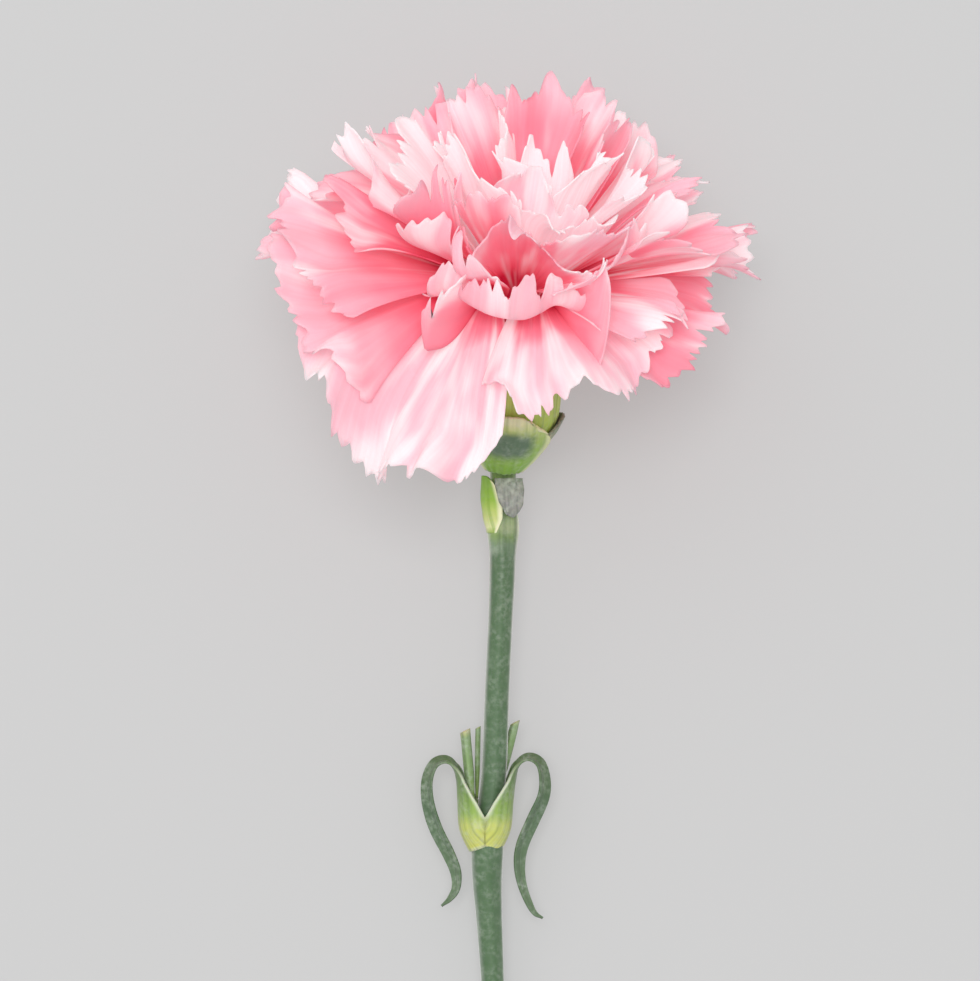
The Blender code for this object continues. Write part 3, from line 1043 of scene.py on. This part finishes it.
@dataclass
class Bracts:
    """The bracts round the calyx's base: the left and right ones lie under the front and back ones.

    Attributes:
        bracts: The bracts, in order.
    """

    bracts: Sequence[Bract] = BRACTS

    def build(self, calyx: Calyx) -> None:
        """Builds the bracts.

        Args:
            calyx: What they hug.
        """
        broad = PlantSkin(
            "green bract with a pale margin",
            ((0.0, "7aa82c"), (3.0, "84b038"), (7.5, "96b54c"), (9.9, "b9c976"), (11.4, "dddcae")),
            streak="6f9136", streak_width=0.7, streak_share=0.4,
            rim="dedfae", rim_from=0.74, dark_patch_and_shade="5b735a", dark_patch_and_shade_ends=(4.6, 10.2), wax=0.35,
        ).make()
        narrow = PlantSkin(
            "green bract with a grey tip",
            ((0.0, "86a93c"), (4.0, "94ad52"), (7.0, "8f9a72"), (9.8, "7f8474")),
            streak="5f6d4c", streak_width=0.7, rim="b9bf9a", wax=0.4,
        ).make()
        for bract in self.bracts:
            bract.build(calyx, narrow if bract.side else broad)


@dataclass
class ScaleLeaf:
    """A small scale leaf of the upper joint, curved round the stem.

    Attributes:
        node: The CAD node that it replaces.
        azimuth: 0 is the front, 90 the right.
        start: Height of its foot, in millimetres.
        end: Height of its tip.
        radii: From the stem's axis, evenly spaced from foot to tip.
        half_widths: Of the leaf, likewise.
        wrinkle: Depth of its wrinkles.
        thickness: In millimetres.
    """

    node: str
    azimuth: float
    start: float
    end: float
    radii: Sequence[float]
    half_widths: Sequence[float]
    wrinkle: float = 0.03
    thickness: float = 0.4

    def place(self, across: np.ndarray, along: np.ndarray) -> Pair:
        """Bends a grid into the scale leaf.

        Args:
            across: From -1 to 1, edge to edge.
            along: From 0 at the foot to 1 at the tip.

        Returns:
            The points and their UV.
        """
        steps = np.linspace(0, 1, len(self.radii))
        rounding = 1 - 0.12 * across**2 * along**3
        height = self.start + (self.end - self.start) * along * rounding
        wrinkles = self.wrinkle * (np.sin(7 * across + 3 * along) + np.sin(15 * along + 4 * across))
        radius = eased(along, list(zip(steps, self.radii)), 0.08) + wrinkles
        width = eased(along, list(zip(steps, self.half_widths)), 0.05)
        around = math.radians(self.azimuth) + across * width / radius
        points = np.stack([radius * np.sin(around), -radius * np.cos(around), height], axis=-1)
        return points, np.stack([across * width, np.abs(height - self.start)], axis=-1)

    def build(self, skin: PlantSkin, slot: str) -> None:
        """Builds the scale leaf.

        Args:
            skin: Its finish.
            slot: Not used.
        """
        grid = bent_grid(28, 32, self.place, POSTURE.flower())
        piece = sheet_piece(f"{self.node}_scale", grid, self.thickness, [skin.make()])
        stands_for(piece, self.node)


@dataclass
class ScaleLeaves:
    """The upper joint's scale leaves: a green one on the left and a withered one that hangs in front.

    Attributes:
        left: The green one.
        dry: The withered one.
    """

    left: ScaleLeaf = field(
        default_factory=lambda: ScaleLeaf(
            "scale_leaf_left", -66, -10.4, -1.5, (2.3, 2.95, 3.3, 3.35, 3.2), (1.6, 3.4, 3.7, 3.2, 2.0)
        )
    )
    dry: ScaleLeaf = field(
        default_factory=lambda: ScaleLeaf(
            "scale_leaf_dry", 22, -1.9, -8.0, (3.1, 3.5, 3.7, 3.8), (2.5, 2.4, 2.0, 0.9), wrinkle=0.07
        )
    )

    def build(self) -> None:
        """Builds both scale leaves."""
        green = PlantSkin(
            "green scale leaf with a pale margin",
            ((0.0, "a9bf6a"), (0.9, "dfe3a8"), (2.6, "c8d67e"), (5.0, "96bf45"), (9.0, "7dad3a")),
            streak="7ea63e", streak_width=0.9, streak_share=0.6, rim="eff0c8", rim_from=0.7, wax=0.2,
        )
        withered = PlantSkin(
            "withered grey scale leaf",
            ((0.0, "7d8a70"), (1.2, "8e968a"), (3.5, "9a9e97"), (6.0, "868b83")),
            streak="5f6861", streak_width=0.5, streak_share=0.5, rim="6d7365", wax=0.8, roughness=0.7,
        )
        self.left.build(green, "bract")
        self.dry.build(withered, "dry_scale")


# === Bloom ===


@dataclass(frozen=True)
class Petal:
    """One petal's place on the bloom's plan and its size, in degrees and millimetres.

    Attributes:
        azimuth: 0 is the front, 90 the right.
        reach: 0 is the bloom's axis, 1 the outermost ring.
        length: From the calyx's mouth to the margin.
        half_width: Of the blade.
        turn: Of the petal's curve on the plan, one end inwards.
        cup: 1 follows the ring, more wraps round the axis, and below 0 it opens outwards.
        pale: How pale the petal is: 0 is red, about 1 nearly all pale.
        white: How much white variegation it has: below 0 none, 1 much, above 2 nearly all of it.
        curl: How far its margin rolls outwards, in millimetres. Below 0 it rolls inwards.
        fold: Strength of its folds and lobes.
    """

    azimuth: float
    reach: float
    length: float
    half_width: float
    turn: float = 0.0
    cup: float = 1.0
    pale: float = 0.3
    white: float = 0.3
    curl: float = 0.8
    fold: float = 1.0


RINGS = {
    "guard": (
        Petal(-36, 0.97, 37, 18.5, turn=2, pale=1.05, white=0.5, curl=0.5, fold=0.3),
        Petal(27, 0.935, 27.5, 15.5, turn=-1, pale=0.85, white=0.55, curl=0.5, fold=0.9),
        Petal(77, 1.01, 29, 13, turn=1, pale=0.45, white=0.1),
        Petal(125, 0.99, 35, 15, turn=5, pale=0.3, white=0.3),
        Petal(179, 0.99, 29, 15, turn=5, pale=0.3),
        Petal(-133, 0.99, 37.5, 14.5, turn=5, pale=0.2),
        Petal(-77, 0.92, 37, 17.5, turn=1, pale=0.35, white=0.15, fold=0.8),
    ),
    "outer": (
        Petal(-2, 0.84, 21.5, 14, turn=1, pale=1.1, white=0.4, curl=-7, fold=0.9),
        Petal(52, 0.85, 27, 10, turn=1, pale=0.8, white=0.4, fold=0.6),
        Petal(99, 0.85, 35.5, 13, turn=5, pale=0.3, white=0.5),
        Petal(152, 0.86, 38, 13.5, turn=5, pale=0.3),
        Petal(-155, 0.86, 35.5, 13.5, turn=5, pale=0.3),
        Petal(-101, 0.89, 38.5, 13, turn=5, pale=0.15, white=0.6),
        Petal(-78, 0.83, 37, 15, turn=1, pale=0.3, white=0.1, fold=1),
    ),
    "second": (
        Petal(42, 0.72, 27, 10, turn=-6, pale=0.9, white=0.5, curl=-5, fold=1.2),
        Petal(77, 0.71, 33, 12, turn=5, pale=0.3, curl=1.5),
        Petal(128, 0.71, 33, 12, turn=5, pale=0.4, white=0.5),
        Petal(178, 0.71, 36, 12, turn=5, pale=0.3),
        Petal(-131, 0.71, 34, 12, turn=5, pale=0.15, curl=-1.5),
        Petal(-86, 0.71, 33, 12, turn=5, pale=0.05, white=0.1, curl=2.5),
        Petal(-42, 0.7, 26, 11, turn=8, pale=0.8, white=0.35, curl=-7, fold=1.4),
    ),
    "middle": (
        Petal(3, 0.5, 27, 14, turn=6, cup=-1.6, pale=0.5, curl=2.5, fold=1.9),
        Petal(52, 0.57, 30, 11, turn=10, pale=0.9, white=0.5, curl=-2, fold=1.4),
        Petal(103, 0.57, 32, 11, turn=10, pale=0.4, curl=2),
        Petal(154, 0.57, 36, 11.5, turn=10, pale=0.15),
        Petal(-156, 0.57, 37, 11.5, turn=10, pale=0.1, curl=1.8),
        Petal(-93, 0.57, 37.5, 11, turn=10, pale=0.15, white=0.6, curl=-1.5),
        Petal(-54, 0.57, 29.5, 11, turn=10, pale=0.25, white=0.15, curl=-5, fold=1.7),
    ),
    "inner": (
        Petal(28, 0.43, 27, 10, turn=11, pale=0.8, white=1.4, curl=2.5, fold=1.5),
        Petal(88, 0.43, 33, 10, turn=11, pale=0.4, white=0.8, curl=-1.5),
        Petal(150, 0.43, 36, 10.5, turn=11, pale=0.2, curl=1.5),
        Petal(-150, 0.43, 35, 10.5, turn=11, pale=0.2, curl=-1),
        Petal(-84, 0.43, 33, 10.5, turn=11, pale=0.5, white=1.4, curl=2),
        Petal(-31, 0.43, 26, 10, turn=11, pale=0.5, white=0.3, curl=-2, fold=1.6),
    ),
    "core": (
        Petal(0, 0.29, 28, 8.5, turn=12, pale=0.8, white=0.7, curl=2, fold=1.4),
        Petal(72, 0.29, 31, 8.5, turn=12, pale=0.5, white=1.3),
        Petal(144, 0.29, 34, 8.5, turn=12, pale=0.35),
        Petal(-144, 0.29, 34, 8.5, turn=12, pale=0.3),
        Petal(-55, 0.31, 31.5, 10.5, turn=4, cup=0.3, pale=0.9, white=2.2, fold=0.6),
    ),
    "heart": (
        Petal(40, 0.15, 29, 7, turn=14, pale=0.8, white=2),
        Petal(170, 0.15, 35.5, 6, turn=14, pale=0.2, white=-0.3, fold=0.8),
        Petal(-70, 0.15, 31, 9, turn=8, pale=1, white=2.8, fold=0.6),
    ),
}


@dataclass
class Bloom:
    """The petals, placed by one shared map that keeps them in order.

    The bloom's plan is a unit disk: its middle is the bloom's axis and its rim the outermost petals. The map
    carries a point of the plan, and a run along the petal, up the calyx's tube and out over its mouth.
    Lengths are in millimetres and angles in degrees.

    Attributes:
        rings: Each ring's name and its petals, from the outermost in.
        core_radius: Radius that the plan's middle has in the tube.
        bundle_radius: Radius that its rim has there.
        claw_depth: How deep the petals' claws stand in the tube.
        claw_half_width: Of the claws.
        bend_run: Run over which a petal opens.
        opening: Of the outermost petals.
        droops: Azimuth of the two places where the front hangs lower, and how much further it opens there.
        droop_focus: How narrow those places are.
        hang_from: Reach from which they hang.
        hang_over: Reach over which that sets in.
        droop: How much the outermost petals go on bending, for each millimetre past the opening.
        shears: The shared ruffles: direction on the plan, waves, size and phase of each.
        grown_run: Run at which the ruffles have their full size.
        folds: Each petal's own folds: length, height and how late they grow.
        plan_scale: Length that a petal's own push is divided by on the plan.
        thickness: Of the petals.
        rest_height: Height over the floor below which petals bend to lie on it.
        columns: Faces across a petal.
        rows: Faces along it.
        claw_rows: Of these, in the tube.
        fold_seed: Added to a petal's seed for the draws of its folds.
    """

    rings: dict[str, tuple[Petal, ...]] = field(default_factory=lambda: RINGS)
    core_radius: float = 0.3
    bundle_radius: float = 7.0
    claw_depth: float = 15.0
    claw_half_width: float = 0.9
    bend_run: float = 9.0
    opening: float = 84.0
    droops: Table = ((-25, 48.0), (38, 28.0))
    droop_focus: float = 5.0
    hang_from: float = 0.74
    hang_over: float = 0.25
    droop: float = 0.45
    shears: Sequence[tuple[float, float, float, float]] = (
        (75, 8, 0.050, 1.0), (20, 15, 0.050, 0.4), (110, 17, 0.045, 2.1), (65, 26, 0.026, 4.0),
        (140, 31, 0.018, 1.2),
    )
    grown_run: float = 32.0
    folds: Sequence[tuple[float, float, float]] = ((14.0, 1.9, 2.0), (7.5, 0.75, 4.0), (3.6, 0.22, 8.0))
    plan_scale: float = 44.0
    thickness: float = 0.22
    rest_height: float = 1.6
    columns: int = 120
    rows: int = 44
    claw_rows: int = 4
    fold_seed: int = 200

    def hang(self, x: np.ndarray, y: np.ndarray) -> np.ndarray:
        """Gives how much further than the rest the front guard petals hang.

        Args:
            x: Across the plan.
            y: Along the plan, away from the front.

        Returns:
            The further opening, in degrees.
        """
        azimuth = np.arctan2(x, -y)
        share = np.clip((np.hypot(x, y) - self.hang_from) / self.hang_over, 0.0, 1.0)
        further = sum(
            angle * np.exp(self.droop_focus * (np.cos(azimuth - math.radians(middle)) - 1))
            for middle, angle in self.droops
        )
        return share * share * (3 - 2 * share) * further

    def radius_and_rise(self, reach: np.ndarray, hang: np.ndarray, run: np.ndarray) -> Pair:
        """Gives where a rib is after a run past the calyx's mouth.

        Args:
            reach: Distance from the plan's middle.
            hang: Its further opening, in degrees.
            run: In millimetres, below 0 inside the tube.

        Returns:
            Distance from the axis and height over the mouth.
        """
        opening = np.maximum(np.radians(reach * self.opening + hang), 1e-3)
        start = self.core_radius + (self.bundle_radius - self.core_radius) * reach
        bend = np.clip(run, 0.0, self.bend_run)
        curvature = opening / self.bend_run
        radius = start + (1 - np.cos(curvature * bend)) / curvature
        rise = np.sin(curvature * bend) / curvature + np.minimum(run, 0.0)
        beyond = np.maximum(run - self.bend_run, 0.0)
        droop = np.maximum(math.radians(self.droop) * reach**3, 1e-5)
        radius = radius + (np.cos(opening) - np.cos(opening + droop * beyond)) / droop
        rise = rise + (np.sin(opening + droop * beyond) - np.sin(opening)) / droop
        return radius, rise

    def plan_to_bloom(self, x: np.ndarray, y: np.ndarray, run: np.ndarray) -> np.ndarray:
        """Maps points of the plan into the bloom's frame, ruffled more and more towards the margin.

        Args:
            x: Across the plan.
            y: Along the plan, away from the front.
            run: In millimetres.

        Returns:
            One point to a row.
        """
        hang = self.hang(x, y)
        grown = np.clip(run / self.grown_run, 0.0, 1.12) ** 2
        for angle, waves, size, phase in self.shears:
            c, s = math.cos(math.radians(angle)), math.sin(math.radians(angle))
            along, across = c * x + s * y, -s * x + c * y
            along = along + size * grown * np.sin(waves * across + phase)
            x, y = c * along - s * across, s * along + c * across
        reach = np.maximum(np.hypot(x, y), 1e-4)
        azimuth = np.arctan2(x, -y)
        radius, rise = self.radius_and_rise(reach, hang, run)
        return np.stack([radius * np.sin(azimuth), -radius * np.cos(azimuth), rise], axis=-1)

    def margin(self, petal: Petal, across: np.ndarray, draws: np.random.Generator) -> np.ndarray:
        """Gives the petal's length at each place across: rounded, lobed and cut into irregular teeth.

        Args:
            petal: The petal.
            across: From -1 to 1.
            draws: The petal's own random draws.

        Returns:
            Length from the calyx's mouth, in millimetres.
        """
        rounded = petal.length * (1 - 0.22 * np.abs(across) ** 2.6)
        # Teeth 0.3 to 0.95 mm apart: notches of all depths, then tips of nearly the same height
        where, teeth, notch = [-1.0], [0.0], False
        while where[-1] < 1.0:
            where.append(where[-1] + draws.uniform(0.3, 0.95) / petal.half_width)
            notch = not notch
            teeth.append(-(draws.uniform(0.5, 1.5) ** 2) if notch else draws.uniform(-0.4, 0.4))
        fringe = np.interp(across, where, teeth)
        # Seven narrow cuts, and broad lobes
        cuts = np.zeros_like(across)
        for _ in range(7):
            depth = draws.uniform(1.0, 2.9)
            away = (across - draws.uniform(-0.85, 0.85)) * petal.half_width
            cuts = cuts - depth * np.exp(-np.abs(away / 0.6))
        lobes = 1.3 * np.sin(across * draws.uniform(5, 8) + draws.uniform(0, 6.3))
        return rounded + fringe + petal.fold * (cuts + lobes)

    def push(
        self, petal: Petal, across: np.ndarray, run: np.ndarray, draws: np.random.Generator
    ) -> np.ndarray:
        """Gives how far the petal's own folds and rolled rim push it away from the bloom's axis.

        Args:
            petal: The petal.
            across: From -1 to 1.
            run: From the calyx's mouth, in millimetres.
            draws: The petal's own random draws.

        Returns:
            The push, in millimetres.
        """
        grown = np.clip(run / petal.length, 0.0, 1.1)
        # The rim rolls over the last third of the petal
        rolled = petal.curl * np.clip((grown - 0.68) / 0.32, 0.0, 1.3) ** 2
        for length, height, power in self.folds:
            wave = 2 * math.pi * across * petal.half_width / (length * draws.uniform(0.8, 1.25))
            lean = draws.uniform(-2.5, 2.5) * grown
            rolled = rolled + petal.fold * height * grown**power * np.sin(wave + lean + draws.uniform(0, 6.3))
        return rolled

    def petal_sheet(self, petal: Petal, seed: int) -> Placement:
        """Gives the function that bends a grid into one petal.

        Args:
            petal: The petal.
            seed: Of its teeth and lobes and, with fold_seed added, of its folds.

        Returns:
            A function for bent_grid.
        """

        def place(across: np.ndarray, along: np.ndarray) -> Pair:
            """Bends a grid into the petal.

            Args:
                across: From -1 to 1, edge to edge.
                along: From 0 at the claw's foot to 1 at the margin.

            Returns:
                The points and their UV.
            """
            azimuth, turn = math.radians(petal.azimuth), math.radians(petal.turn)
            claw_share = self.claw_rows / self.rows
            margin = self.margin(petal, across, np.random.default_rng(seed))
            blade = np.clip((along - claw_share) / (1 - claw_share), 0.0, 1.0)
            claw = np.minimum(along / claw_share - 1, 0.0) * self.claw_depth
            run = claw + blade * margin
            spread = np.clip((run - 2.0) / (0.78 * petal.length - 2.0), 0.0, 1.0) ** 0.85
            width = self.claw_half_width + (petal.half_width - self.claw_half_width) * spread
            out = np.array([math.sin(azimuth), -math.cos(azimuth)])
            side = np.array([math.cos(azimuth), math.sin(azimuth)])
            centre = petal.reach * out
            radius, _ = self.radius_and_rise(petal.reach, self.hang(*centre), run)
            offset = across * width * petal.reach / radius
            dip = petal.cup * offset**2 / (2 * petal.reach)
            folding = np.random.default_rng(seed + self.fold_seed)
            dip = dip - self.push(petal, across, run, folding) / self.plan_scale
            inwards = side * math.sin(turn) - out * math.cos(turn)
            onwards = side * math.cos(turn) + out * math.sin(turn)
            x = centre[0] + onwards[0] * offset + inwards[0] * dip
            y = centre[1] + onwards[1] * offset + inwards[1] * dip
            uv = np.stack([across * petal.half_width, run], axis=-1)
            return self.plan_to_bloom(x, y, run), uv

        return place

    def rest(self, grid: BMesh) -> None:
        """Bends what would reach below the floor to lie on it.

        Args:
            grid: One petal, bent and placed.
        """
        low, near = self.thickness * MM, self.rest_height * MM
        for vertex in grid.verts:
            if vertex.co.z < near:
                vertex.co.z = low + (near - low) * math.exp((vertex.co.z - near) / (near - low))

    def build(self, tissue: Material) -> None:
        """Builds every petal.

        Args:
            tissue: The petals' material.
        """
        count = 0
        for ring, petals in self.rings.items():
            for place, petal in enumerate(petals, 1):
                sheet = self.petal_sheet(petal, count + 1)
                grid = bent_grid(self.columns, self.rows, sheet, POSTURE.bloom())
                self.rest(grid)
                piece = sheet_piece(f"{ring}_blade_{place}", grid, self.thickness, [tissue])
                tone = piece.data.attributes.new("petal_tone", "FLOAT_VECTOR", "POINT")
                own_tone = [count * GOLDEN % 1.0, petal.pale, petal.white]
                tone.data.foreach_set("vector", np.tile(own_tone, len(piece.data.vertices)))
                stands_for(piece, f"{ring}_petal_{place}")
                count += 1


# === Studio ===


@dataclass
class Studio:
    """A plain pale floor, soft light from all round and a camera that looks down on the flower.

    Attributes:
        floor_colour: Hex colour of the floor.
        floor_glow: Light that the floor gives off, so that shadows stay faint.
        surround: Strength of the light from all round.
        lamps: Name, place and size in metres, and power in watts, of each soft lamp.
        distance: From the camera to the flower, in metres.
        view_width: Width of what the camera sees there, in metres.
        middle: Sideways and height on the standing flower of the view's middle, in millimetres.
    """

    floor_colour: str = "929292"
    floor_glow: float = 0.29
    surround: float = 0.68
    lamps: Sequence[tuple[str, tuple[float, float, float], float, float]] = (
        ("overhead", (-0.04, 0.05, 1.0), 0.4, 4.6),
        ("key", (-0.5, 0.35, 0.8), 0.8, 1.1),
    )
    distance: float = 0.425
    view_width: float = 0.153
    middle: tuple[float, float] = (-2.03, -3.82)

    def floor(self) -> None:
        """Lays the floor at height 0."""
        bm = bmesh.new()
        bmesh.ops.create_grid(bm, x_segments=1, y_segments=1, size=3.0)
        material, shader = blank_material("pale matt studio floor")
        feed(shader, {
            "Base Color": linear(self.floor_colour), "Roughness": 0.9, "Emission Color": (1.0, 1.0, 1.0, 1.0),
            "Emission Strength": self.floor_glow,
        })
        new_piece("floor", bm, [material])

    def light(self) -> None:
        """Lights the scene with a pale surround and two large soft lamps."""
        world = bpy.data.worlds.new("pale surround")
        bpy.context.scene.world = world
        world.use_nodes = True
        background = world.node_tree.nodes["Background"]
        feed(background, {"Color": (1.0, 1.0, 1.0, 1.0), "Strength": self.surround})
        for name, place, size, power in self.lamps:
            lamp = bpy.data.lights.new(name, "AREA")
            lamp.size = size
            lamp.energy = power
            holder = bpy.data.objects.new(name, lamp)
            bpy.context.scene.collection.objects.link(holder)
            holder.location = place
            aim = Vector((0.0, 0.03, 0.02)) - Vector(place)
            holder.rotation_euler = aim.to_track_quat("-Z", "Y").to_euler()

    def camera(self) -> None:
        """Sets the camera square to the stem, over the flower."""
        lens = bpy.data.cameras.new("camera")
        lens.sensor_width = 36.0
        lens.lens = lens.sensor_width * self.distance / self.view_width
        lens.clip_start = 0.01
        holder = bpy.data.objects.new("camera", lens)
        bpy.context.scene.collection.objects.link(holder)
        bpy.context.scene.camera = holder
        flower = POSTURE.flower()
        right = Vector((1.0, 0.0, 0.0))
        up = (flower.to_3x3() @ Vector((0.0, 0.0, 1.0))).normalized()
        back = right.cross(up)
        middle = flower @ Vector((self.middle[0], 0.0, self.middle[1]))
        turned = Matrix((right, up, back)).transposed().to_4x4()
        holder.matrix_world = Matrix.Translation(middle + back * self.distance) @ turned

    def build(self) -> None:
        """Builds the studio."""
        self.floor()
        self.light()
        self.camera()


def main() -> None:
    """Builds the flower's pieces in order, and the studio round them."""
    logging.basicConfig(level=logging.INFO, format="%(name)s: %(message)s")
    bpy.context.scene.view_settings.view_transform = "Standard"
    calyx = Calyx()
    Stem().build()
    LeafPair().build()
    CutShoots().build()
    ScaleLeaves().build()
    calyx.build()
    Bracts().build(calyx)
    Bloom().build(PetalTissue().make())
    Studio().build()


if __name__ == "__main__":
    main()
